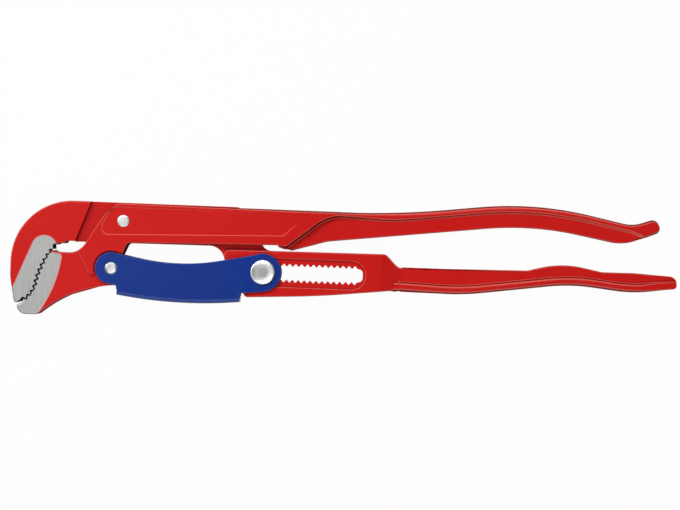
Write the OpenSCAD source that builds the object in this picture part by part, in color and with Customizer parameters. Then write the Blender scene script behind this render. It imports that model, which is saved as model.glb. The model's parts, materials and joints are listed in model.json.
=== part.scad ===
// Adjustable pipe wrench with a push-button rack lock, lying on its side.
// Origin: axis of the guide pin, on the face that the wrench rests on.
// X runs along the slide of the hook lever, towards the handles.
// Y runs across the handles. Z runs through the thickness.

/* [Jaws] */
// Thickness of both jaws
jaw_w = 20; // [16:1:23]
// Radius of the back of the hook
hook_r = 52; // [46:1:53]
// Distance from the guide pin to the back of the hook
hook_reach = 94; // [90:1:100]
// Pitch of the jaw teeth
tooth_pitch = 4.8; // [3.6:0.2:6]
// Height of the jaw teeth
tooth_h = 2.4; // [1.2:0.2:2.6]
// Distance between the two tooth lines when the jaws are shut
bite_gap = 2; // [1.9:0.1:3]

/* [Fork] */
// Thickness over the two fork plates
fork_w = 24; // [23:0.5:28]
// Thickness of the shank that slides in the fork
shank_w = 9; // [7:0.5:10]
// Gap on each side of the shank
shank_gap = 0.3; // [0.2:0.05:0.6]
// Height of the shank above the guide pin
shank_top = 15.5; // [13:0.5:17]
// Height of the shank below the guide pin
shank_drop = 18.8; // [17:0.2:19.6]
// Diameter of the guide pin
guide_d = 10.2; // [7:0.2:12]
// Gap above and below the guide pin in its slot
guide_gap = 0.5; // [0.4:0.05:0.8]
// Depth of the bare panel in the front plate
panel_depth = 0.4; // [0.2:0.1:0.8]

/* [Link] */
// Distance that the link pivot lies behind the guide pin
pivot_back = 9; // [5:1:12]
// Distance that the link pivot lies below the guide pin
pivot_drop = 40; // [39:0.5:42]
// Distance from the link pivot to the lock bolt, along the slide
link_reach = 127.5; // [124:0.5:132]
// Thickness of the link's sheet
sheet_t = 2.5; // [2:0.25:3]
// Radius of the link's end at the pivot
link_end_r = 13.4; // [11:0.2:14]
// Radius of the link's end at the lock bolt
lock_end_r = 16; // [14:0.2:16.4]
// Inward step of the cheeks near the lock bolt
joggle = 0.9; // [0.9:0.05:1.2]
// Diameter of the link's pivot pin
pivot_d = 10.2; // [7:0.2:12]
// Gap between the cheeks and what they straddle
cheek_gap = 0.2; // [0.15:0.05:0.4]

/* [Rack] */
// Pitch of the rack notches
notch_pitch = 5; // [4.8:0.1:5.2]
// Number of notches that the hook lever can travel
travel_notches = 12; // [8:1:12]
// Depth of each notch
notch_h = 2.6; // [1.5:0.1:3.2]
// Half height of the slot between the tips of the rack teeth
slot_half = 5.4; // [5:0.1:6]
// Distance from the guide pin down to the line of the rack
rack_drop = 38.6; // [38:0.1:39.4]
// Depth of the shallow pocket around the rack slot
pocket_depth = 1.8; // [1.8:0.1:2.2]

/* [Button] */
// Diameter of the push button
button_d = 20.4; // [16:0.2:21]
// Travel of the push button
button_travel = 4.2; // [3:0.1:4.2]
// Thickness of the push button
button_t = 3; // [2:0.25:4]
// Diameter of the lock bolt's stem
stem_d = 8; // [6:0.5:9]
// Radial gap of the turning fits
fit_gap = 0.06; // [0.03:0.01:0.09]
// Gap between the bolt's teeth and the rack's teeth
mesh_gap = 0.25; // [0.15:0.05:0.5]
// Wire of the button spring
wire_d = 1.1; // [0.6:0.1:1.3]
// Working turns of the button spring
spring_turns = 3; // [2:1:3]

/* [Handles] */
// Width of the handle flanges through the thickness
flange_w = 14.5; // [12:0.5:17]
// Width of the handle webs through the thickness
web_w = 6; // [5:0.5:10]
// Height of the upper handle's flange
upper_flange_h = 6.4; // [5:0.2:8]
// Height of the lower handle's flange
lower_flange_h = 7.6; // [6:0.2:9]
// Length of the upper lever past the guide pin
upper_len = 453; // [430:1:470]
// Length of the hook lever past the guide pin
lower_len = 468; // [440:1:480]

/* [Hidden] */

// Largest distance between a round outline and its chords
chord_error = 0.03;
// Cuts run past the faces that they open by this much
over = 1;
$fn = 96;

// Places
mid_z = fork_w / 2;
travel = notch_pitch * travel_notches;
pivot = [-pivot_back, -pivot_drop];
lock = [link_reach - pivot_back, -rack_drop];

// The link's folded edge is a long arc of this radius; its lowest point is at fold_x, fold_foot
fold_r = 380;
fold_x = 56.5;
fold_foot = -67;
fold_from = -4;
fold_to = 100;
fold_bend = 4.6;

// Levels through the thickness, as half widths about the middle
cheek_skin = 0.1;
cheek_out = fork_w / 2 - cheek_skin;
cheek_in = cheek_out - sheet_t;
boss_half = cheek_in - cheek_gap;
lock_out = cheek_out - joggle;
lock_in = cheek_in - joggle;
rack_half = lock_in - cheek_gap * 1.5;

// The button's travel takes the bolt's teeth clear of the toothed part of the rack
press_gap = 0.2;
rack_t = button_travel - press_gap;

// ---- Outlines -------------------------------------------------------------

function unit(v) = v / norm(v);

// Chords that keep an arc of radius r and this sweep within the chord error
function chords(r, sweep) = max(1, ceil(abs(sweep) / (2 * acos(1 - min(0.5, chord_error / r)))));

// A path is a closed list of corners [x, y, radius]; a corner without a radius is sharp
function at(path, i) = path[(i + len(path)) % len(path)];
function xy(p) = [p[0], p[1]];
function radius(p) = len(p) > 2 ? p[2] : 0;
function away(path, i, step) = unit(xy(at(path, i + step)) - xy(at(path, i)));
function half_angle(path, i) = acos(max(-1, min(1, away(path, i, -1) * away(path, i, 1)))) / 2;

// Length that the corner's arc takes from each of its two sides
function taken(path, i) = radius(at(path, i)) == 0 ? 0 : radius(at(path, i)) / tan(half_angle(path, i));

// Share of that length that a side has room for
function room(path, i, step) =
    norm(xy(at(path, i + step)) - xy(at(path, i))) / (taken(path, i) + taken(path, i + step));

function corner(path, i) =
    let (p = xy(path[i]), r = radius(path[i]))
    r == 0 ? [p] :
    let (fit = r * min(1, room(path, i, -1), room(path, i, 1)),
         half = half_angle(path, i),
         u = away(path, i, -1),
         v = away(path, i, 1),
         centre = p + unit(u + v) * fit / sin(half),
         from = p + u * fit / tan(half) - centre,
         to = p + v * fit / tan(half) - centre,
         start = atan2(from.y, from.x),
         turn = (atan2(to.y, to.x) - start + 540) % 360 - 180,
         n = chords(fit, turn))
    [for (k = [0:n]) centre + fit * [cos(start + turn * k / n), sin(start + turn * k / n)]];

// The outline of a path, with its corners rounded
function rounded(path) = [for (i = [0:len(path) - 1]) each corner(path, i)];

// A slab of an outline, this wide about the middle plane
module slab(path, width) {
    translate([0, 0, mid_z - width / 2])
        linear_extrude(width) polygon(rounded(path));
}

// A slab of an outline between two heights
module layer(path, z0, z1) {
    translate([0, 0, z0])
        linear_extrude(z1 - z0) polygon(rounded(path));
}

// A round post about an axis along Z
module post(place, d, z0, z1) {
    translate([place.x, place.y, z0]) cylinder(d = d, h = z1 - z0);
}

// A side view [x, half width, radius], mirrored about the middle plane, run through Y
module side_view(halves, y0, y1) {
    n = len(halves);
    translate([0, y1, mid_z])
        rotate([90, 0, 0])
            linear_extrude(y1 - y0)
                polygon(rounded([for (p = halves) p,
                                 for (i = [n - 1:-1:0]) [halves[i].x, -halves[i].y, radius(halves[i])]]));
}

// ---- Bite line ------------------------------------------------------------
// The line midway between the shut jaws: a long arc, then a short one that turns back.

bite_start = [-55.6, -21.6];
bite_heading = 228;
bite_r1 = 70;
bite_turn1 = 32;
bite_r2 = 17.3;
bite_turn2 = 62;
bite_len1 = bite_r1 * bite_turn1 * PI / 180;
bite_len = bite_len1 + bite_r2 * bite_turn2 * PI / 180;
half_teeth = 2 * floor(bite_len / tooth_pitch);

function dir(a) = [cos(a), sin(a)];

// Point of the bite line at length s, moved towards the lower jaw by this offset
function bite(s, offset) =
    let (c1 = bite_start + bite_r1 * dir(bite_heading + 90),
         turned = bite_heading + bite_turn1,
         c2 = c1 + (bite_r1 + bite_r2) * dir(turned - 90),
         h1 = bite_heading + s / bite_r1 * 180 / PI,
         h2 = turned - (s - bite_len1) / bite_r2 * 180 / PI)
    s < bite_len1 ? c1 + (bite_r1 - offset) * dir(h1 - 90)
                  : c2 + (bite_r2 + offset) * dir(h2 + 90);

// Teeth down the bite line from this half tooth on; side is -1 for the hook, 1 for the lower jaw
function teeth(side, first = 0) =
    [for (i = [first:half_teeth])
        bite(i * tooth_pitch / 2, (side * bite_gap + (i % 2 == 0 ? tooth_h : -tooth_h)) / 2)];

function reversed(path) = [for (i = [len(path) - 1:-1:0]) path[i]];

// ---- Hook lever -----------------------------------------------------------

// The thick hook ends on a slanted step, where the thinner shank leaves it
step_lean = 0.37;
step_x = -33.5;
function step_at(y) = [step_x + step_lean * y, y];
// The shank's end is buried in the hook by this
shank_root = 5;

// Rack slot: the bolt sits at its rear end when the jaws are shut
slot_rear = button_d / 2 + 1;
pocket_half = slot_rear + 0.4;
slot_runout = 24.2;
slot_end = lock.x + travel + slot_runout;
slot_root = slot_half + notch_h;
end_half = slot_half + notch_h / 3;
end_r = 0.7 * end_half;
plain_half = slot_root + 0.3;
block_wall = 26;
block_end = slot_end + block_wall;
// The block's faces fall to the handle's web between these two distances about its end
ramp_from = 12;
ramp_to = 9;
block_top = -20.3;
// Its top rises by this towards the handle
block_rise = 0.8;
// The foot of the rack block runs this far above the fold
fold_gap = 1.7;
block_foot = fold_foot + fold_r - sqrt(pow(fold_r - sheet_t, 2) - pow(fold_to - fold_x, 2)) + fold_gap;

// The shank's lower edge rises by this up to the window's rear
shank_rise = 0.9;
// Shank end, cut back so that it clears the fork as the lever swings
shank_end = 96.5;
shank_lean = 0.66;

// Guide slot: its rear end leaves room for the pin to wander as the lever swings
swing_room = 12;
guide_half = guide_d / 2 + guide_gap;

// Corners of the lower handle, from the rear of the rack block to the tip
function lower_foot(rise) = [
    [block_end + 5, -49.9 + rise, 30],
    [block_end + 57, -51.8 + rise, 220],
    [lower_len - 89.5, -39 + rise, 155],
    [lower_len - 36.5, -44.7 + rise, 120]];
lower_top = [
    [lower_len - 4.5, -29.2, 4],
    [lower_len - 36, -27.4, 60],
    [lower_len - 63, -27.7, 12],
    [lower_len - 97.1, -21.1, 80],
    [lower_len - 126, -28.7, 12],
    [block_end + 4, -30.7, 8],
    [block_end - 7, block_top + block_rise, 6],
    [block_end - 20, block_top + block_rise]];
lower_tip = [[lower_len - 1, -39.5, 4], [lower_len + 0.6, -32.5, 5]];

module hook_lever() {
    color("firebrick") difference() {
        union() {
            slab(hook_path(), jaw_w);
            slab(shank_path(), shank_w);
            intersection() {
                slab(block_path(), 2 * rack_half);
                side_view([[60, rack_half], [block_end - ramp_from, rack_half, 30],
                           [block_end + ramp_to, web_w / 2]],
                          -80, 0);
            }
            slab(concat([[block_end - 20, -51.5]], lower_foot(0), lower_tip, lower_top), web_w);
            slab(concat([[block_end - 1, -49.8]], lower_foot(0), lower_tip, [[lower_len - 12, -34, 3]],
                        reversed(lower_foot(lower_flange_h)),
                        [[block_end - 1, -50 + lower_flange_h, 4]]), flange_w);
        }
        guide_slot();
        rack_slot();
    }
}

function hook_path() = concat(
    [step_at(shank_top), [-hook_reach, shank_top, hook_r], [-hook_reach, -50, 40], [-89.6, -73, 2.2]],
    reversed(teeth(-1)),
    [[-53.6, -20.7, 0.8], [-49, -20.6, 0.5], [-47.8, -18.2, 0.8], step_at(-18.4)]);

function shank_path() = [
    step_at(shank_top), [shank_end, shank_top, 4],
    [shank_end + shank_lean * (shank_top - block_top), block_top, 8],
    [block_end - 95, block_top], [block_end - 100, block_top - 4], [100, block_foot + 6], [88, -38],
    [82.5, shank_rise - shank_drop, 13], step_at(-shank_drop),
    step_at(-shank_drop) + [-shank_root, shank_root], step_at(shank_top) - [shank_root, shank_root]];

function block_path() = [
    [83.5, block_top - 0.5, 5], [87.5, -35, 20], [104.5, block_foot, 4], [block_end - 62, -57.2, 900],
    [block_end, -50.1], [block_end + ramp_to + 1, -49.3], [block_end + ramp_to + 1, -31],
    [block_end + 4, -30.7, 8], [block_end - 7, block_top + block_rise, 6], [130, block_top]];

module guide_slot() {
    long_slot([-swing_room, 0], travel + swing_room + 3, guide_half, mid_z - shank_w, mid_z + shank_w);
}

// A round-ended slot along X: a bar between two posts
module long_slot(from, length, half, z0, z1) {
    post(from, 2 * half, z0, z1);
    post(from + [length, 0], 2 * half, z0, z1);
    translate([from.x, from.y - half, z0]) cube([length, 2 * half, z1 - z0]);
}

module rack_slot() {
    rear = lock.x - slot_rear;
    face = mid_z + rack_half - pocket_depth;
    // Toothed part, under the front face
    layer(concat(
        [[rear, lock.y - slot_half, 4], [rear, lock.y + slot_half, 4]],
        rack_notches(1, 0, -1.5, travel_notches + 3.5),
        [[slot_end, lock.y + end_half, end_r], [slot_end, lock.y - end_half, end_r]],
        reversed(rack_notches(-1, 0, -1.5, travel_notches + 3.5))), face - rack_t - over, face + over);
    // Plain part behind it, which frees the bolt when the button is pressed
    long_slot([rear + plain_half - 1, lock.y], slot_end - rear - 2 * plain_half + 2, plain_half,
                   mid_z - rack_half - over, face - rack_t);
    // Shallow pockets in both faces
    for (z = [face, mid_z - rack_half - over])
        long_slot([lock.x, lock.y], slot_end - lock.x - 9.5, pocket_half, z, z + pocket_depth + over);
}

// Zigzag of the rack's teeth on one side of the slot; inset makes the bolt's own teeth
function rack_notches(side, inset, from, to) =
    [for (k = [2 * from - 1:2 * to + 1])
        [lock.x + k * notch_pitch / 2, lock.y + side * ((k % 2 == 0 ? slot_half : slot_root) - inset)]];

// ---- Upper lever ----------------------------------------------------------

upper_edge = 14.7;
// The plates' lower edge rises towards the handle
plate_foot = -18.3;
plate_rise = 2.9;
jaw_top = -28.1;
boss_r = 14.6;
recess_r = link_end_r + 1.5;
knuckle = [142.2, block_top + 0.78];

// Corners of the upper handle, from the fork to the tip
function upper_ridge(drop, first_r) = [
    [228, 14.6 - drop, first_r],
    [upper_len - 106, 29.2 - drop, 290],
    [upper_len - 23.5, 12.5 - drop, 28]];
ridge_r = 700;
bead_r = 150;
upper_tip = [[upper_len - 4, 19.3, 6], [upper_len + 1.4, 8.4, 5]];
upper_foot = [
    [upper_len - 31.5, -4, 36],
    [upper_len - 108, 9.9, 260],
    [172, -10.7, 40],
    [knuckle.x, knuckle.y, 2.5]];

module upper_lever() {
    color("firebrick") difference() {
        union() {
            slab(jaw_path(), jaw_w);
            slab(core_path(), 2 * boss_half);
            post(pivot, 2 * boss_r, mid_z - boss_half, mid_z + boss_half);
            intersection() {
                slab(plate_path(), fork_w);
                layer([[-38, -26.5], [-37.8, 30], [600, 30], [600, -44.5], [-20, -44.5], [-26.6, -46.9, 2]],
                      -over, fork_w + over);
                side_view([[-60, fork_w / 2], [150, fork_w / 2, 300], [205, flange_w / 2 + 0.5, 300],
                           [upper_len - 60, flange_w / 2], [upper_len + 10, flange_w / 2 - 1]], -60, 60);
            }
            slab(concat([[118, upper_edge]], upper_ridge(0, ridge_r), upper_tip, upper_foot,
                        [[128, plate_foot + plate_rise, 8], [118, plate_foot + plate_rise]]), upper_web_w);
        }
        // Slot of the fork
        layer([[-70, 30], [fork_end + 8, 30], [fork_end + 30, plate_foot - 1], [12, plate_foot - 1],
               [12, jaw_top], [-70, jaw_top]],
              mid_z - shank_w / 2 - shank_gap, mid_z + shank_w / 2 + shank_gap);
        // Recesses for the ends of the link's cheeks
        for (z = [mid_z + boss_half, mid_z - boss_half - fork_w]) {
            post(pivot, 2 * recess_r, z, z + fork_w);
            layer([[pivot.x, pivot.y + recess_r - 0.5], [14, pivot.y + recess_r - 4], [14, -62],
                   [pivot.x, -62]], z, z + fork_w);
        }
        // Bare panel in the front plate
        layer([[-9, 11.2, 6], [148.5, 10.6, 2], [148.5, 6, 3], [134.5, -7.2, 4], [-17.3, -11.6, 5],
               [-17.3, -3, 6]], fork_w - panel_depth, fork_w + over);
        post([0, 0], guide_d, -over, fork_w + over);
        post(pivot, pivot_d + 2 * fit_gap, -over, fork_w + over);
    }
}

fork_end = shank_end + 5.5;
// Where the plates' slanted edge would meet the top of the jaw
notch_corner = [-36.3, jaw_top, 16];
upper_web_w = 9;

function jaw_path() = concat(
    teeth(1, 3),
    [[-87.4, -73.8, 1.2], [-86, -81.3, 7.5], [-70, -81.3, 5], [-43.3, -59.8, 104],
     [-11, -54.8], [-12, -40], [-20, -8], [-24.3, -8], notch_corner, [-57.5, jaw_top, 0.6]]);

function core_path() = [
    [-52, jaw_top], [0.8, jaw_top, 1.5], [5, -36, 4], [4, -46, 4], [pivot.x + 2, pivot.y - boss_r + 2],
    [-20, -56.2, 60], [-44, -64]];

function plate_path() = concat(
    [[-5.5, upper_edge, 4], [120, upper_edge]], upper_ridge(0, ridge_r), upper_tip,
    [[upper_len - 14, 2, 6]], reversed(upper_ridge(upper_flange_h, bead_r)),
    [[173, 10.4, 30], [137.2, -17.9, 2.5], [130, plate_foot + plate_rise, 10], [4, plate_foot, 4],
     [-0.6, -29, 0.8], [-4, -36], [-20, -48], [-40, -48], [-50, jaw_top], notch_corner, [-17.5, 3.4, 10]]);

// ---- Link -----------------------------------------------------------------

// The cheeks step inward between these two places
joggle_from = fold_to + 3.4;
joggle_to = fold_to + 7;
// The round of the link's lock end sits this far off the bolt's axis
lock_end = [-0.4, -0.3];

module adjusting_link() {
    color("royalblue") difference() {
        union() {
            intersection() {
                union() {
                    layer(cheek_path(), -over, fork_w + over);
                    post(pivot, 2 * link_end_r, -over, fork_w + over);
                    post(lock + lock_end, 2 * lock_end_r, -over, fork_w + over);
                }
                cheek_sheets();
            }
            fold();
        }
        post(pivot, pivot_d, -over, fork_w + over);
        post(lock, button_d + 2 * fit_gap, mid_z, fork_w + over);
        post(lock, stem_d + 2 * fit_gap, -over, mid_z);
    }
}

function cheek_path() = [
    [pivot.x + 1, pivot.y + link_end_r], [46.6, -37.6, 180], [lock.x, lock.y + lock_end.y + lock_end_r],
    [lock.x, lock.y + lock_end.y - lock_end_r],
    [fold_to, -57.2, 1], [fold_to, -60], [fold_x, fold_foot + 4.2], [fold_from, -58],
    [fold_from, pivot.y - link_end_r - 1, 3], [pivot.x - 1, pivot.y - link_end_r + 1]];

// Both cheeks in side view, stepping inward near the lock bolt
module cheek_sheets() {
    for (side = [-1, 1])
        translate([0, 0, mid_z])
            rotate([90, 0, 0])
                translate([0, 0, -60])
                    linear_extrude(180)
                        polygon([for (p = [
                            [-60, cheek_in], [joggle_from, cheek_in], [joggle_to, lock_in],
                            [200, lock_in], [200, lock_out], [joggle_to, lock_out],
                            [joggle_from, cheek_out], [-60, cheek_out]]) [p.x, side * p.y]]);
}

// The folded edge that joins the cheeks, swept round a long arc
module fold() {
    centre = [fold_x, fold_foot + fold_r];
    a0 = asin((fold_from - fold_x) / fold_r);
    a1 = asin((fold_to - fold_x) / fold_r);
    translate([centre.x, centre.y, mid_z])
        rotate([0, 0, a0 - 90])
            rotate_extrude(angle = a1 - a0, $fn = 360)
                fold_section();
}

module fold_section() {
    difference() {
        polygon(rounded([[fold_r - 9, -cheek_out], [fold_r, -cheek_out, fold_bend],
                         [fold_r, cheek_out, fold_bend], [fold_r - 9, cheek_out]]));
        polygon(rounded([[fold_r - 10, -cheek_in], [fold_r - sheet_t, -cheek_in, fold_bend - sheet_t],
                         [fold_r - sheet_t, cheek_in, fold_bend - sheet_t], [fold_r - 10, cheek_in]]));
    }
}

// ---- Pins, bolt and button ------------------------------------------------

module guide_pin() {
    color("gainsboro") turned([0, 0], [[0, guide_d / 2], [fork_w - 0.2, guide_d / 2],
                                       [fork_w + 0.3, guide_d / 2 - 0.6]]);
}

module link_pivot_pin() {
    color("gainsboro") turned(pivot, [[cheek_skin, pivot_d / 2], [fork_w - cheek_skin, pivot_d / 2],
                                      [fork_w + 0.5, pivot_d / 2 - 0.7]]);
}

// A turned piece about Z from a list of [height, radius]
module turned(axis, stations) {
    n = len(stations);
    translate([axis.x, axis.y, 0])
        rotate_extrude()
            polygon(concat([[0, stations[0].x]], [for (s = stations) [s.y, s.x]],
                           [[0, stations[n - 1].x]]));
}

button_foot = mid_z + lock_out - 0.1;
button_top = button_foot + button_t;
collar_top = mid_z + rack_half - pocket_depth - 0.1;
collar_foot = collar_top - rack_t + press_gap;
stem_foot = 0.1;
stem_top = button_top - 1.2;
neck_r = slot_half - 0.4;
ring_top = mid_z - lock_out - 0.05;
ring_t = ring_top - 0.15;
groove_d = stem_d - 1.2;
ring_d = stem_d + 4;
ring_mouth = 3.2;
seat_foot = mid_z - lock_in;
seat_t = 0.8;
seat_d = 2 * plain_half - 1.4;

// One side of the collar: four teeth that stand in the notches, flat beyond them
function bolt_teeth(side) =
    let (flat = lock.y + side * (slot_half - mesh_gap))
    concat([[lock.x - button_d, flat]], rack_notches(side, mesh_gap, -1.5, 1.5),
           [[lock.x + button_d, flat]]);

module lock_bolt() {
    color("silver") difference() {
        union() {
            intersection() {
                post(lock, button_d - 0.4, collar_foot, collar_top);
                layer(concat(bolt_teeth(1), reversed(bolt_teeth(-1))), collar_foot, collar_top);
            }
            post(lock, stem_d, stem_foot, stem_top);
            post(lock, 2 * neck_r, collar_top - 0.1, button_foot);
        }
        difference() {
            post(lock, ring_d, ring_top - ring_t, ring_top);
            post(lock, groove_d, -over, fork_w);
        }
    }
}

module push_button() {
    color("whitesmoke") translate([lock.x, lock.y, 0]) rotate_extrude()
        polygon([[stem_d / 2, button_foot], [button_d / 2, button_foot], [button_d / 2, button_top - 1.3],
                 [button_d / 2 - 0.5, button_top - 0.7], [button_d / 2 - 2.2, button_top],
                 [stem_d / 2 + 1.4, button_top - 0.9], [stem_d / 2, button_top - 1.2]]);
}

module button_spring() {
    color("dimgray") coil(lock, seat_d / 2 - 1.4 - wire_d / 2, seat_foot + seat_t, collar_foot);
}

// A coil spring between two heights, with closed ends
module coil(axis, r, z0, z1) {
    sides = 8;
    steps = 20;
    turns = spring_turns;
    n = steps * turns;
    rise = z1 - z0 - wire_d;
    points = [for (i = [0:n], j = [0:sides - 1])
        let (a = 360 * i / steps, b = 360 * j / sides, q = r + wire_d / 2 * cos(b))
        [axis.x + q * cos(a), axis.y + q * sin(a), z0 + wire_d / 2 + rise * i / n + wire_d / 2 * sin(b)]];
    faces = concat(
        [[for (j = [0:sides - 1]) j]],
        [for (i = [0:n - 1], j = [0:sides - 1])
            let (k = (j + 1) % sides)
            [i * sides + j, (i + 1) * sides + j, (i + 1) * sides + k, i * sides + k]],
        [[for (j = [sides - 1:-1:0]) n * sides + j]]);
    polyhedron(points, faces);
}

module spring_washer() {
    color("silver") difference() {
        post(lock, seat_d, seat_foot, seat_foot + seat_t);
        post(lock, stem_d + 0.4, seat_foot - over, seat_foot + seat_t + over);
    }
}

module retaining_ring() {
    color("dimgray") difference() {
        post(lock, ring_d, ring_top - ring_t, ring_top);
        post(lock, groove_d, -over, fork_w);
        translate([lock.x, lock.y - ring_mouth / 2, -over]) cube([ring_d, ring_mouth, fork_w]);
    }
}

upper_lever();
hook_lever();
adjusting_link();
guide_pin();
link_pivot_pin();
lock_bolt();
push_button();
button_spring();
spring_washer();
retaining_ring();
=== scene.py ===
import json
import math

import bmesh
import bpy
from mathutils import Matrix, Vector

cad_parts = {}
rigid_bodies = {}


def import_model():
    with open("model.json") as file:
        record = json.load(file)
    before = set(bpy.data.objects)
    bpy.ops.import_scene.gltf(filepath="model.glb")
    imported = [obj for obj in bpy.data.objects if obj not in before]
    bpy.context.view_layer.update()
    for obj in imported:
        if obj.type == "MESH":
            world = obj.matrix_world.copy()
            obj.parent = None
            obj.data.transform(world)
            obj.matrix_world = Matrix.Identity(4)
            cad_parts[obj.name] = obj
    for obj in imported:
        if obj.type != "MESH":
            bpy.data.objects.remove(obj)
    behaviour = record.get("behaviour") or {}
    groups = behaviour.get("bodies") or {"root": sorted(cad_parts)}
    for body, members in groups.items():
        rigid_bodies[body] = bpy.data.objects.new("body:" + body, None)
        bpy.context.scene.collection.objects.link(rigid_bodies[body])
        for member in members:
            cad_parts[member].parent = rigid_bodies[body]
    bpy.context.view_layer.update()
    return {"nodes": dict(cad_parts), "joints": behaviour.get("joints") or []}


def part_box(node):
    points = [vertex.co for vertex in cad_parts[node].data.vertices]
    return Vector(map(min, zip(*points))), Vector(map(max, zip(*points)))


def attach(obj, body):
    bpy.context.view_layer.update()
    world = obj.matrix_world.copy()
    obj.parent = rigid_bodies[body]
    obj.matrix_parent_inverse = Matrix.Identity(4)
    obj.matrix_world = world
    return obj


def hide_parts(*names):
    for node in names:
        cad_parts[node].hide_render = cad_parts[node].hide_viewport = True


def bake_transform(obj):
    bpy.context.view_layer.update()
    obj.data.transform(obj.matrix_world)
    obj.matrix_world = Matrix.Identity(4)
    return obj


for leftover in list(bpy.data.objects):
    bpy.data.objects.remove(leftover)
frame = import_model()

# ---- The studio ---------------------------------------------------------
# The wrench lies on its side on a white table, seen from straight above.
# A soft box and a small lamp light it from the jaws' side, and two long lamps stand beyond its far
# and near sides.

MM = 0.001
TURN = math.radians(2.2)
CAMERA_HEIGHT = 1.525
VIEW_CENTRE = (0.1829, -0.0216)
VIEW_WIDTH = 0.5719
FOCUS_HEIGHT = 0.0215
SENSOR = 36.0

lens = bpy.data.cameras.new("table_camera")
lens.sensor_width = SENSOR
lens.lens = SENSOR * (CAMERA_HEIGHT - FOCUS_HEIGHT) / VIEW_WIDTH
camera = bpy.data.objects.new("table_camera", lens)
camera.location = (VIEW_CENTRE[0], VIEW_CENTRE[1], CAMERA_HEIGHT)
camera.rotation_euler = (0, 0, TURN)
bpy.context.collection.objects.link(camera)
bpy.context.scene.camera = camera
bpy.context.scene.view_settings.view_transform = "Standard"


def lamp(name, place, aim, size, power):
    light = bpy.data.lights.new(name, "AREA")
    light.shape = "RECTANGLE"
    light.size, light.size_y = size
    light.energy = power
    thing = bpy.data.objects.new(name, light)
    thing.location = place
    thing.rotation_euler = (Vector(aim) - Vector(place)).to_track_quat("-Z", "Y").to_euler()
    bpy.context.collection.objects.link(thing)


# Each lamp has its place, aim and size in metres, and its power in watts.
lamp("soft_box", (-0.50, 0.15, 1.90), (-0.05, 0.0, 0.0), (0.8, 0.8), 2.4)
lamp("far_lamp", (-0.15, 0.95, 1.35), (0.10, 0.0, 0.0), (1.8, 0.35), 17)
lamp("left_lamp", (-1.20, 0.50, 1.00), (0.0, 0.0, 0.0), (0.6, 0.6), 6)
lamp("near_lamp", (0.10, -0.95, 1.40), (0.15, 0.0, 0.0), (1.8, 0.35), 8)


class Wire:
    """A value on its way through a material; Python's signs add the Math nodes."""

    def __init__(self, socket):
        self.socket = socket

    def math(self, operation, *others, flip=False):
        tree = self.socket.id_data
        node = tree.nodes.new("ShaderNodeMath")
        node.operation = operation
        terms = [self, *others]
        if flip:
            terms.reverse()
        for place, term in zip(node.inputs, terms):
            if isinstance(term, Wire):
                tree.links.new(term.socket, place)
            else:
                place.default_value = term
        return Wire(node.outputs[0])

    def __add__(self, other):
        return self.math("ADD", other)

    __radd__ = __add__

    def __sub__(self, other):
        return self.math("SUBTRACT", other)

    def __rsub__(self, other):
        return self.math("SUBTRACT", other, flip=True)

    def __mul__(self, other):
        return self.math("MULTIPLY", other)

    __rmul__ = __mul__

    def least(self, floor):
        return self.math("MAXIMUM", floor)

    def most(self, roof):
        return self.math("MINIMUM", roof)

    def step_down(self, edge, soft):
        """1 below the edge and 0 above it, across a soft band."""
        return ((edge - self) * (1 / soft) + 0.5).most(1).least(0)


class Finish:
    """A material, and the one way in which its nodes are made."""

    def __init__(self, name):
        self.material = bpy.data.materials.new(name)
        self.material.use_nodes = True
        self.tree = self.material.node_tree
        self.shader = self.tree.nodes["Principled BSDF"]

    def node(self, kind, settings, sockets, out=0):
        node = self.tree.nodes.new(kind)
        for key, value in settings.items():
            setattr(node, key, value)
        for key, value in sockets.items():
            self.feed(node.inputs[key], value)
        return Wire(node.outputs[out])

    def feed(self, socket, value):
        if isinstance(value, Wire):
            self.tree.links.new(value.socket, socket)
        elif isinstance(value, tuple) and socket.type == "RGBA" and len(value) == 3:
            socket.default_value = (*value, 1)
        else:
            socket.default_value = value

    def set(self, **sockets):
        for key, value in sockets.items():
            self.feed(self.shader.inputs[key.replace("_", " ")], value)

    def place(self):
        return self.node("ShaderNodeTexCoord", {}, {}, "Object")

    def apart(self, vector):
        split = self.tree.nodes.new("ShaderNodeSeparateXYZ")
        self.tree.links.new(vector.socket, split.inputs[0])
        return [Wire(s) for s in split.outputs]

    def axes(self):
        """The place along X and across Y."""
        return self.apart(self.place())[:2]

    def flatness(self):
        """1 on faces that look along Z, 0 on walls."""
        return self.apart(self.node("ShaderNodeTexCoord", {}, {}, "Normal"))[2].math("ABSOLUTE")

    def noise(self, scale, detail, stretch=(1, 1, 1), turn=(0, 0, 0)):
        spot = self.node("ShaderNodeMapping", {},
                         {"Vector": self.place(), "Scale": stretch, "Rotation": turn})
        return self.node("ShaderNodeTexNoise", {},
                         {"Vector": spot, "Scale": scale, "Detail": detail}, "Fac")

    def blend(self, share, colour_a, colour_b):
        return self.node("ShaderNodeMix", {"data_type": "RGBA"},
                         {"Factor": share, "A": colour_a, "B": colour_b}, "Result")

    def bump(self, height, depth):
        return self.node("ShaderNodeBump", {}, {"Height": height, "Distance": depth}, "Normal")


def beside(x, y, start, heading, half, length=10.0):
    """Distance in metres from a band with round ends, which reaches half to each side of its line."""
    dx, dy = x - start[0], y - start[1]
    along = (dx * heading[0] + dy * heading[1]).least(0.0).most(length)
    ex, ey = dx - along * heading[0], dy - along * heading[1]
    return (ex * ex + ey * ey).math("SQRT") - half


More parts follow.
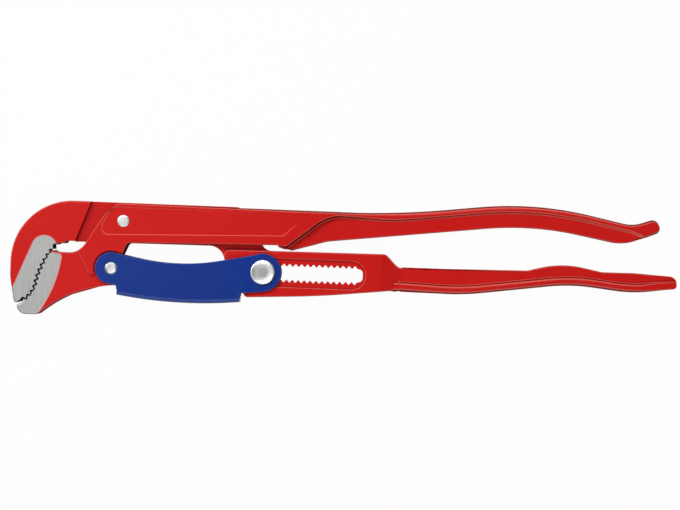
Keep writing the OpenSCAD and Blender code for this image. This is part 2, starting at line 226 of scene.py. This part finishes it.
# The table top is white and keeps a faint shadow, which is full only in the narrow gap between the jaws.
TABLE_SIZE = 6.0
TABLE_DROP = 0.0005
TABLE_LIFT = 0.97
GAP_TOP = (-59.5 * MM, -30 * MM)
GAP_HEADING = (-0.55, -0.835)
GAP_HALF = 3.5 * MM
GAP_LENGTH = 44 * MM
GAP_EDGE = 2 * MM
TABLE_WHITE = (0.85, 0.85, 0.85)
table = bmesh.new()
bmesh.ops.create_grid(table, x_segments=1, y_segments=1, size=TABLE_SIZE)
bmesh.ops.translate(table, verts=table.verts, vec=(0, 0, -TABLE_DROP))
table_mesh = bpy.data.meshes.new("table_top")
table.to_mesh(table_mesh)
table_top = bpy.data.objects.new("table_top", table_mesh)
bpy.context.collection.objects.link(table_top)
white = Finish("table_white")
white.set(Base_Color=TABLE_WHITE, Roughness=0.9)
glow = white.node("ShaderNodeEmission", {}, {"Color": (1, 1, 1, 1), "Strength": 1.0})
rays = white.tree.nodes.new("ShaderNodeLightPath")
seen = (Wire(rays.outputs["Is Camera Ray"]) + Wire(rays.outputs["Is Glossy Ray"])
        + Wire(rays.outputs["Is Transmission Ray"])).most(1)
table_x, table_y = white.axes()
gap = beside(table_x, table_y, GAP_TOP, GAP_HEADING, GAP_HALF, GAP_LENGTH)
open_table = 1 - gap.step_down(0.0, GAP_EDGE)
top = white.node("ShaderNodeMixShader", {},
                 {0: seen * open_table * TABLE_LIFT, 1: Wire(white.shader.outputs[0]), 2: glow})
white.tree.links.new(top.socket, white.tree.nodes["Material Output"].inputs["Surface"])
table_mesh.materials.append(white.material)

ROOM_FILL = 0.13
room = bpy.data.worlds.new("white_room")
room.use_nodes = True
bpy.context.scene.world = room
sky = room.node_tree
fill = sky.nodes["Background"]
fill.inputs["Color"].default_value = (1, 1, 1, 1)
eye = sky.nodes.new("ShaderNodeLightPath")
direct = (Wire(eye.outputs["Is Camera Ray"]) + Wire(eye.outputs["Is Transmission Ray"])).most(1)
strength = direct * (1 - ROOM_FILL) + ROOM_FILL
sky.links.new(strength.socket, fill.inputs["Strength"])

# ---- Hook lever -----------------------------------------------------------
# One forging: hook jaw, slotted shank, rack block and lower handle.
# It is powder coated red all over, and the side of the jaw is then ground bare.

RED = (0.65, 0.016, 0.013)
DEEP_RED = (0.60, 0.010, 0.009)
COAT_LIP = (0.80, 0.42, 0.38)
# Lighter red painted on rims that tilt away from level: a painted highlight.
RIM_HIGHLIGHT_PAINT = (0.88, 0.17, 0.13)
# Dark red painted on steep walls: painted shade.
WALL_SHADE_PAINT = (0.20, 0.003, 0.003)
COAT_SHINE = 0.1
DARK_STEEL = (0.40, 0.40, 0.39)
GROUND_STEEL = (0.56, 0.56, 0.55)
# Near black painted on the bare steel's walls and teeth flanks: painted shade.
BARE_WALL_SHADE = (0.07, 0.07, 0.07)
GRIND_TURN = math.radians(-38)
LIP_WIDTH = 0.6 * MM
GRIND_EDGE = 0.2 * MM
COAT_ROUGH, GROUND_ROUGH = 0.24, 0.38
COAT_RELIEF = 0.06 * MM

# How many spots or streaks of each pattern lie along a metre, roughly.
CLOUDS, FORGED, PEEL, STREAKS, GRIT = 28, 70, 700, 900, 2600

# How far a surface looks up where level faces end, where rims end and where walls begin.
LEVEL_END, RIM_END, WALL_START = 0.90, 0.62, 0.55
FLAT_LEAST, WALL_MOST = 0.9, 0.5

# Wider than any rim's rounding, which is stored as a share of it.
MAX_ROUND = 4 * MM
MERGE = 1e-6
TINY = 0.35 * MM
COPLANAR = math.radians(0.5)

# The hinges are given in the wrench's middle plane.
joint_at = {joint["name"]: joint["pos_m"] for joint in frame["joints"] if "pos_m" in joint}
MIDDLE = joint_at["link_swing"][2]


def copied(node, join=MERGE):
    """The CAD solid's surface as one merged mesh of large flat faces, without edges shorter than join."""
    mesh = bmesh.new()
    mesh.from_mesh(frame["nodes"][node].data)
    bmesh.ops.remove_doubles(mesh, verts=mesh.verts, dist=MERGE)
    tiny = [edge for edge in mesh.edges if edge.calc_length() < join]
    bmesh.ops.collapse(mesh, edges=tiny, uvs=False)
    bmesh.ops.dissolve_limit(mesh, angle_limit=COPLANAR, verts=mesh.verts, edges=mesh.edges)
    mesh.normal_update()
    return mesh


def sharp(edge, angle=25):
    """True where two faces meet at more than this angle, in degrees."""
    return edge.is_manifold and edge.calc_face_angle(0) > math.radians(angle)


def upright(edge):
    """True where the edge rises steeply."""
    return abs(edge.verts[0].co.z - edge.verts[1].co.z) > 0.5 * edge.calc_length()


def toothed(edge):
    """True where both ends of a rim edge are points of a saw line."""
    return all(any(upright(e) and sharp(e, 45) for e in v.link_edges) for v in edge.verts)


def rim_wall(edge):
    """The wall under a sharp rim between a flat and a wall, or None."""
    if not sharp(edge) or upright(edge) or toothed(edge):
        return None
    wall = min(edge.link_faces, key=lambda f: abs(f.normal.z))
    flat = max(edge.link_faces, key=lambda f: abs(f.normal.z))
    return wall if abs(flat.normal.z) > FLAT_LEAST and abs(wall.normal.z) < WALL_MOST else None


def measured(edge, wall, rule):
    """What the rule gives for a rim, in metres. It gets the rim's middle and its distance from the
    middle plane in mm, whether it stands out, its wall's normal, and the wall's height in mm."""
    middle = (edge.verts[0].co + edge.verts[1].co) / (2 * MM)
    half = abs(middle.z - MIDDLE / MM)
    out = edge.calc_face_angle_signed(0) > 0
    levels = [v.co.z for v in wall.verts]
    height = (max(levels) - min(levels)) / MM
    return MM * rule(middle.x, middle.y, half, out, wall.normal, height)


def mark_rounding(mesh, rule):
    """Stores how far each sharp rim is rounded."""
    share = mesh.edges.layers.float.new("bevel_weight_edge")
    for edge in mesh.edges:
        wall = rim_wall(edge)
        if wall:
            edge[share] = measured(edge, wall, rule) / MAX_ROUND


def lean_walls(mesh, rule):
    """Leans the walls in towards their rims, as forged walls do. The parting line at mid height stays."""
    bmesh.ops.bisect_plane(mesh, geom=[*mesh.verts, *mesh.edges, *mesh.faces], dist=MERGE,
                           plane_co=(0, 0, MIDDLE), plane_no=(0, 0, 1))
    mesh.normal_update()
    moves = {}
    for vert in mesh.verts:
        pulls = []
        for edge in vert.link_edges:
            wall = rim_wall(edge)
            inset = measured(edge, wall, rule) if wall else 0
            if inset:
                pulls.append((wall.normal.xy.normalized(), inset))
        if not pulls:
            continue
        (u, a), (v, b) = pulls[0], pulls[-1]
        turn = u.cross(v)
        real_corner = abs(turn) > 0.2
        if real_corner:
            moves[vert] = Vector(((b * u.y - a * v.y) / turn, (a * v.x - b * u.x) / turn, 0))
        else:
            moves[vert] = -((u * a + v * b) / 2).to_3d()
    for vert, move in moves.items():
        vert.co += move
    mesh.normal_update()


def piece(name, mesh, material, body, slot, *nodes, smooth=35, rounding=0):
    """Makes the mesh a finished piece in place of the nodes. The body is None where the piece is left
    unattached.
    """
    data = bpy.data.meshes.new(name)
    mesh.to_mesh(data)
    mesh.free()
    if "custom_normal" in data.attributes:
        data.attributes.remove(data.attributes["custom_normal"])
    data.materials.clear()
    data.materials.append(material)
    thing = bpy.data.objects.new(name, data)
    bpy.context.collection.objects.link(thing)
    data.shade_smooth()
    data.set_sharp_from_angle(angle=math.radians(smooth))
    if rounding:
        bend = thing.modifiers.new("rounding", "BEVEL")
        bend.limit_method = "WEIGHT"
        bend.width = MAX_ROUND
        bend.segments = rounding
        bend.use_clamp_overlap = False
        bend.loop_slide = False
        bend.profile = 0.5
    flats = thing.modifiers.new("flats", "WEIGHTED_NORMAL")
    flats.keep_sharp = True
    if body:
        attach(thing, body)
    if nodes:
        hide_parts(*nodes)
    return thing


def red_coat(name, ground):
    """Powder coat over steel; ground gives the distance into the coat from the bare patch, in metres."""
    coat = Finish(name)
    inside = ground(*coat.axes())
    bare = inside.step_down(0.0, GRIND_EDGE)
    coated = 1 - bare
    lip = inside.step_down(LIP_WIDTH, LIP_WIDTH / 2) - bare
    flat = coat.flatness()
    steep = flat.step_down(WALL_START, 0.1)
    # Rims that tilt between level faces and walls get the painted highlight.
    rim = flat.step_down(LEVEL_END, 0.02) - flat.step_down(RIM_END, 0.06)
    red = coat.blend(coat.noise(CLOUDS, 3), DEEP_RED, RED)
    red = coat.blend(lip * 0.8, red, COAT_LIP)
    red = coat.blend(rim * 0.8, red, RIM_HIGHLIGHT_PAINT)
    # Steep walls of the coat are painted dark: painted shade.
    red = coat.blend(steep * 0.9, red, WALL_SHADE_PAINT)
    streaks = coat.noise(STREAKS, 2, stretch=(1, 0.05, 1), turn=(0, 0, GRIND_TURN))
    steel = coat.blend(streaks, DARK_STEEL, GROUND_STEEL)
    # Steep walls of the bare steel, such as the teeth flanks, are painted near black: painted shade.
    steel = coat.blend(steep, steel, BARE_WALL_SHADE)
    forged = coat.noise(FORGED, 2)
    peel = coat.noise(PEEL, 1)
    grit = coat.noise(GRIT, 1)
    relief = coated * (peel * 0.5 + forged * 2.0 + 1.0) + bare * streaks * 0.25
    coat.set(Base_Color=coat.blend(bare, red, steel), Metallic=bare * (1 - steep) * 0.85,
             Roughness=coated * (COAT_ROUGH + grit * 0.08) + bare * (GROUND_ROUGH + streaks * 0.18)
             + steep * 0.45,
             Specular_IOR_Level=COAT_SHINE, Normal=coat.bump(relief, COAT_RELIEF))
    return coat.material


GRIND_TOP = (-65.9 * MM, -25.2 * MM)
GRIND_HEADING = (-0.376, -0.927)
GRIND_HALF = 10.4 * MM


def hook_ground(x, y):
    """A band with a round top, along the hook's teeth."""
    return beside(x, y, GRIND_TOP, GRIND_HEADING, GRIND_HALF)


# Half thicknesses in mm, each a little inside the face that it finds.
JAW_LEVEL, BLOCK_LEVEL, BEAD_LEVEL, SHANK_LEVEL, WEB_LEVEL = 9.5, 7.5, 6.8, 4, 2

# Places along the wrench in mm, between which its parts lie.
STEP_AT, BLOCK_FROM, SHANK_TO, WEB_FROM, FOOT_FROM, HANDLE_FROM = -25, 80, 100, 215, 220, 225

# Where a rim begins to change, and over what length.
BEAD_SWELLS, BEAD_SHRINKS, LEAN_FADES, WEB_FADES = (225, 40), (420, 30), (435, 20), (445, 15)

# How far the rims are rounded. Those of the slot and of low steps stay sharp.
JAW_ROUND, BLOCK_ROUND, BEAD_ROUND, BEAD_SWELL = 1.5, 1.2, 1.2, 0.8
STEP_ROUND, SHANK_ROUND, WEB_ROUND, FOOT_ROUND = 1.0, 0.6, 1.1, 0.8
BEAD_LEAN = 1.2
SLOT_ZONE = 8
LOW_STEP = 3


def grown(x, start, length):
    """From 0 at start to 1 a length further on, so that rims change slowly."""
    return min(1, max(0, (x - start) / length))


def hook_lean(x, y, half, out, wall, height):
    on_bead = out and half > BEAD_LEVEL and x > HANDLE_FROM
    return BEAD_LEAN * (1 - grown(x, *LEAN_FADES)) if on_bead else 0


def hook_rounding(x, y, half, out, wall, height):
    web_left = 1 - grown(x, *WEB_FADES)
    if not out:
        if half < SHANK_LEVEL and x > FOOT_FROM:
            return FOOT_ROUND * web_left
        return STEP_ROUND if half < SHANK_LEVEL + 1 and x < STEP_AT else 0
    if half > JAW_LEVEL:
        return JAW_ROUND
    if half > BEAD_LEVEL and x > HANDLE_FROM:
        return BEAD_ROUND + BEAD_SWELL * (grown(x, *BEAD_SWELLS) - grown(x, *BEAD_SHRINKS))
    if half > BLOCK_LEVEL and x > BLOCK_FROM:
        return BLOCK_ROUND
    if half > SHANK_LEVEL and x < SHANK_TO:
        return SHANK_ROUND if height > LOW_STEP and abs(y) > SLOT_ZONE else 0
    return WEB_ROUND * web_left if x > WEB_FROM and half > WEB_LEVEL else 0


hook = copied("hook_lever", TINY)
lean_walls(hook, hook_lean)
mark_rounding(hook, hook_rounding)
piece("hook_forging", hook, red_coat("hook_coat", hook_ground), "hook_lever", "red_coat", "hook_lever",
      rounding=4)

# ---- Upper lever ------------------------------------------------------------
# The other forging: lower jaw, fork plates and upper handle, coated the same way.
# Its jaw is ground bare up to a curved line, and the fork is milled for the shank.

ARC_CENTRE = (-156.5 * MM, -19.7 * MM)
ARC_R = 105.85 * MM
TOP_LINE = 36.2 * MM
TOP_SLOPE = 0.12
GRIND_CORNER = 2.5 * MM
PIVOT = tuple(joint_at["link_swing"][:2])


def jaw_ground(x, y):
    """The jaw's tip, left of a long arc and under a line near the jaw's top, with a round corner."""
    dx, dy = x - ARC_CENTRE[0], y - ARC_CENTRE[1]
    arc = (dx * dx + dy * dy).math("SQRT") - ARC_R
    line = y + x * TOP_SLOPE + TOP_LINE
    over_arc, over_line = (arc + GRIND_CORNER).least(0), (line + GRIND_CORNER).least(0)
    return (over_arc * over_arc + over_line * over_line).math("SQRT") - GRIND_CORNER


# How far the bores and the recess for the link's end reach from their centres, in mm.
BORE_REACH, RECESS_REACH = 6.32, 17.89

# Half thicknesses in mm, and the places along the wrench where the handle's rib and flange begin.
FORK_LEVEL, FLANGE_LEVEL, RIB_LEVEL = 9.6, 6, 5
RIB_FROM, RIB_FOOT_FROM, FLANGE_FROM = 125, 130, 135
FLANGE_SWELLS, FLANGE_SHRINKS = (190, 60), (405, 30)
PANEL_STEP = 0.6
PANEL_LEAN, FLANGE_LEAN = 0.6, 1.2
FORK_ROUND, BORE_ROUND = 1.2, 0.35
MANY_CORNERS = 40


def from_pivot(x, y):
    """Distance from the link's pivot, in mm."""
    return math.hypot(x - PIVOT[0] / MM, y - PIVOT[1] / MM)


def in_bore(x, y):
    """True on the rims of the two pins' bores."""
    return min(math.hypot(x, y), from_pivot(x, y)) < BORE_REACH


def fork_lean(x, y, half, out, wall, height):
    if not out or in_bore(x, y) or from_pivot(x, y) < RECESS_REACH:
        return 0
    if height < PANEL_STEP:
        return PANEL_LEAN
    return FLANGE_LEAN if half > FLANGE_LEVEL and x > FLANGE_FROM else 0


def fork_rounding(x, y, half, out, wall, height):
    in_recess = from_pivot(x, y) < RECESS_REACH and height < LOW_STEP
    if height < PANEL_STEP or in_recess:
        return 0
    if not out:
        return FORK_ROUND if x > RIB_FOOT_FROM and half < RIB_LEVEL else 0
    if in_bore(x, y):
        return BORE_ROUND
    if x > FLANGE_FROM and half > FLANGE_LEVEL and wall.y > 0:
        return FORK_ROUND + grown(x, *FLANGE_SWELLS) - grown(x, *FLANGE_SHRINKS)
    return FORK_ROUND if half > FORK_LEVEL or x > RIB_FROM else 0


upper = copied("upper_lever", TINY)
lean_walls(upper, fork_lean)

# A face with very many corners would tear when its rims are rounded.
large = [face for face in upper.faces if len(face.verts) > MANY_CORNERS]
bmesh.ops.triangulate(upper, faces=large, ngon_method="BEAUTY")
mark_rounding(upper, fork_rounding)
piece("fork_forging", upper, red_coat("fork_coat", jaw_ground), "upper_lever", "red_coat", "upper_lever",
      smooth=22, rounding=4)

# ---- Adjusting link -----------------------------------------------------------
# A strip of steel folded to a U, which straddles the fork and the rack block.
# Its cheeks are pressed in near the bolt, and it has a satin blue powder coat.

BLUE = (0.006, 0.038, 0.275)
DEEP_BLUE = (0.004, 0.030, 0.235)
# A lighter blue painted on the fold's round: a painted highlight.
FOLD_HIGHLIGHT_BLUE = (0.07, 0.12, 0.42)
FOLD_FROM, FOLD_TO = 0.95, 0.55
SHEET_CLOUDS, SHEET_PEEL = 30, 800
SHEET_SHINE = 0.2
SHEET_ROUND = 0.5
blue = Finish("link_coat")
up = blue.flatness()
# The fold's round, between these tilts, gets the painted highlight.
fold_highlight = up.step_down(FOLD_FROM, 0.03) - up.step_down(FOLD_TO, 0.1)
cloudy = blue.blend(blue.noise(SHEET_CLOUDS, 3), DEEP_BLUE, BLUE)
blue.set(Base_Color=blue.blend(fold_highlight * 0.6, cloudy, FOLD_HIGHLIGHT_BLUE), Roughness=0.28,
         Specular_IOR_Level=SHEET_SHINE, Normal=blue.bump(blue.noise(SHEET_PEEL, 1), 0.02 * MM))


def link_rounding(x, y, half, out, wall, height):
    return SHEET_ROUND if out else 0


link = copied("adjusting_link")
mark_rounding(link, link_rounding)
piece("link_sheet", link, blue.material, "adjusting_link", "blue_coat", "adjusting_link", rounding=3)

# ---- Guide pin ------------------------------------------------------------------
# A plain round pin of polished steel, riveted through both fork plates.
# The shank's slot slides along it.

STEEL_CLOUDS, SCRATCHES = 140, 1200


def steel(name, dark, bright, roughness):
    """Bare steel with fine scratches and faint clouds."""
    metal = Finish(name)
    clouds = metal.noise(STEEL_CLOUDS, 3)
    scratch = metal.noise(SCRATCHES, 2, stretch=(1, 0.1, 1))
    metal.set(Base_Color=metal.blend(clouds * 0.5 + scratch * 0.5, dark, bright), Metallic=0.9,
              Roughness=roughness + scratch * 0.15, Normal=metal.bump(scratch, 0.01 * MM))
    return metal.material


def turned(stations, axis, steps=72):
    """A turned piece about a vertical axis, from stations (height, radius) in mm."""
    mesh = bmesh.new()
    corners = [mesh.verts.new((axis[0] + r * MM, axis[1], z * MM)) for z, r in stations]
    lines = [mesh.edges.new(pair) for pair in zip(corners, corners[1:])]
    bmesh.ops.spin(mesh, geom=corners + lines, cent=(*axis, 0), axis=(0, 0, 1), angle=math.tau,
                   steps=steps, use_merge=True)
    bmesh.ops.remove_doubles(mesh, verts=mesh.verts, dist=MERGE)
    bmesh.ops.recalc_face_normals(mesh, faces=mesh.faces)
    return mesh


PIN_R = 5.1
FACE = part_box("upper_lever")[1][2] / MM
polished = steel("pin_polish", (0.78, 0.77, 0.77), (0.90, 0.88, 0.88), 0.30)
pin = turned([(0, 0), (0, PIN_R - 0.4), (0.4, PIN_R), (FACE - 0.2, PIN_R), (FACE, PIN_R - 0.25),
              (FACE + 0.2, PIN_R - 0.6), (FACE + 0.3, PIN_R - 1.3), (FACE + 0.3, 0)], (0, 0))
piece("guide_rivet", pin, polished, "upper_lever", "polished_steel", "guide_pin")

# ---- Link's pivot pin -------------------------------------------------------------
# The same pin again, through the link's ends and the boss of the fork.
# Its end has a wide chamfer around a flat middle.

MIDDLE_R = 3.55
pivot = turned([(0.1, 0), (0.1, PIN_R - 0.4), (0.5, PIN_R), (FACE - 0.3, PIN_R), (FACE, PIN_R - 0.2),
                (FACE + 0.5, MIDDLE_R + 0.25), (FACE + 0.35, MIDDLE_R), (FACE + 0.35, 0)], PIVOT)
piece("pivot_rivet", pivot, polished, "adjusting_link", "polished_steel", "link_pivot_pin")

# ---- Lock bolt ------------------------------------------------------------------
# The stem goes through link and rack block, and its collar's teeth hold the rack's notches.
# It is turned and milled from bright steel, with a groove for the ring at its far end.

bright = steel("bolt_steel", (0.50, 0.50, 0.49), (0.62, 0.62, 0.61), 0.32)
bolt = copied("lock_bolt")
piece("toothed_bolt", bolt, bright, "lock_button", "bright_steel", "lock_bolt")

# ---- Push button ------------------------------------------------------------------
# A turned disc of polished steel, fixed on the bolt's front end.
# Its face is dished, and has fine rings from the lathe.

LOCK = tuple(joint_at["bolt_turn"][:2])
BUTTON_FOOT, BUTTON_TOP = (corner[2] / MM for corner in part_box("push_button"))
BUTTON_R, STEM_R = 10.2, 4.0
DISH_R, DISH_IN, DISH_FALL = 9.0, 4.5, 0.75
RINGS = 14
RING_RISE = 0.035
dish = []
for k in range(2 * RINGS + 1):
    share = k / (2 * RINGS)
    fall = DISH_FALL * (1 - (1 - share) ** 2) + RING_RISE * (k % 2)
    dish.append((BUTTON_TOP - fall, DISH_R + (DISH_IN - DISH_R) * share))
rim = [(BUTTON_FOOT, STEM_R), (BUTTON_FOOT, BUTTON_R - 0.2), (BUTTON_FOOT + 0.2, BUTTON_R),
       (BUTTON_TOP - 0.7, BUTTON_R), (BUTTON_TOP - 0.3, BUTTON_R - 0.15),
       (BUTTON_TOP - 0.08, BUTTON_R - 0.5)]
bore = [(BUTTON_TOP - 1.1, STEM_R + 0.2), (BUTTON_TOP - 1.1, STEM_R), (BUTTON_FOOT, STEM_R)]
button = turned(rim + dish + bore, LOCK, steps=96)
piece("button_disc", button, polished, "lock_button", "polished_steel", "push_button")

# ---- Button spring ------------------------------------------------------------------
# A coil of spring steel wire around the stem, between the washer and the collar.
# In the wrench it shortens as the button is pressed; this coil keeps one length.

WIRE_R = 0.55
COIL_R, COIL_TURNS = 6.05, 3
COIL_FOOT, COIL_TOP = (corner[2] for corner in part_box("button_spring"))
coil_steps = 32 * COIL_TURNS
tempered = steel("spring_wire", (0.10, 0.10, 0.11), (0.17, 0.17, 0.19), 0.30)
coil = bmesh.new()
wire_end = bmesh.ops.create_circle(coil, segments=12, radius=WIRE_R * MM)["verts"]
bmesh.ops.rotate(coil, verts=wire_end, cent=(0, 0, 0),
                 matrix=Vector((0, 0, 1)).rotation_difference(Vector((0, 1, 0))).to_matrix())
coil_start = COIL_FOOT + WIRE_R * MM
bmesh.ops.translate(coil, verts=wire_end, vec=(LOCK[0] + COIL_R * MM, LOCK[1], coil_start))
climb = (COIL_TOP - COIL_FOOT - 2 * WIRE_R * MM) / coil_steps
bmesh.ops.spin(coil, geom=wire_end + list(coil.edges), cent=(*LOCK, 0), axis=(0, 0, 1), dvec=(0, 0, climb),
               angle=math.tau * COIL_TURNS, steps=coil_steps)
bmesh.ops.holes_fill(coil, edges=[e for e in coil.edges if e.is_boundary])
bmesh.ops.recalc_face_normals(coil, faces=coil.faces)
spring = piece("spring_coil", coil, tempered, None, "spring_steel", "button_spring")
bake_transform(spring)

# ---- Spring washer ------------------------------------------------------------------
# A plain washer, stamped from bright steel.
# It lies in the far cheek, and the spring pushes against it.

washer = copied("spring_washer")
piece("seat_washer", washer, bright, "bolt_seat", "bright_steel", "spring_washer")

# ---- Retaining ring ------------------------------------------------------------------
# A split ring of tempered spring steel.
# It is snapped into the stem's groove behind the far cheek, and holds the bolt in the link.

clip = copied("retaining_ring")
piece("split_ring", clip, tempered, "lock_button", "spring_steel", "retaining_ring")
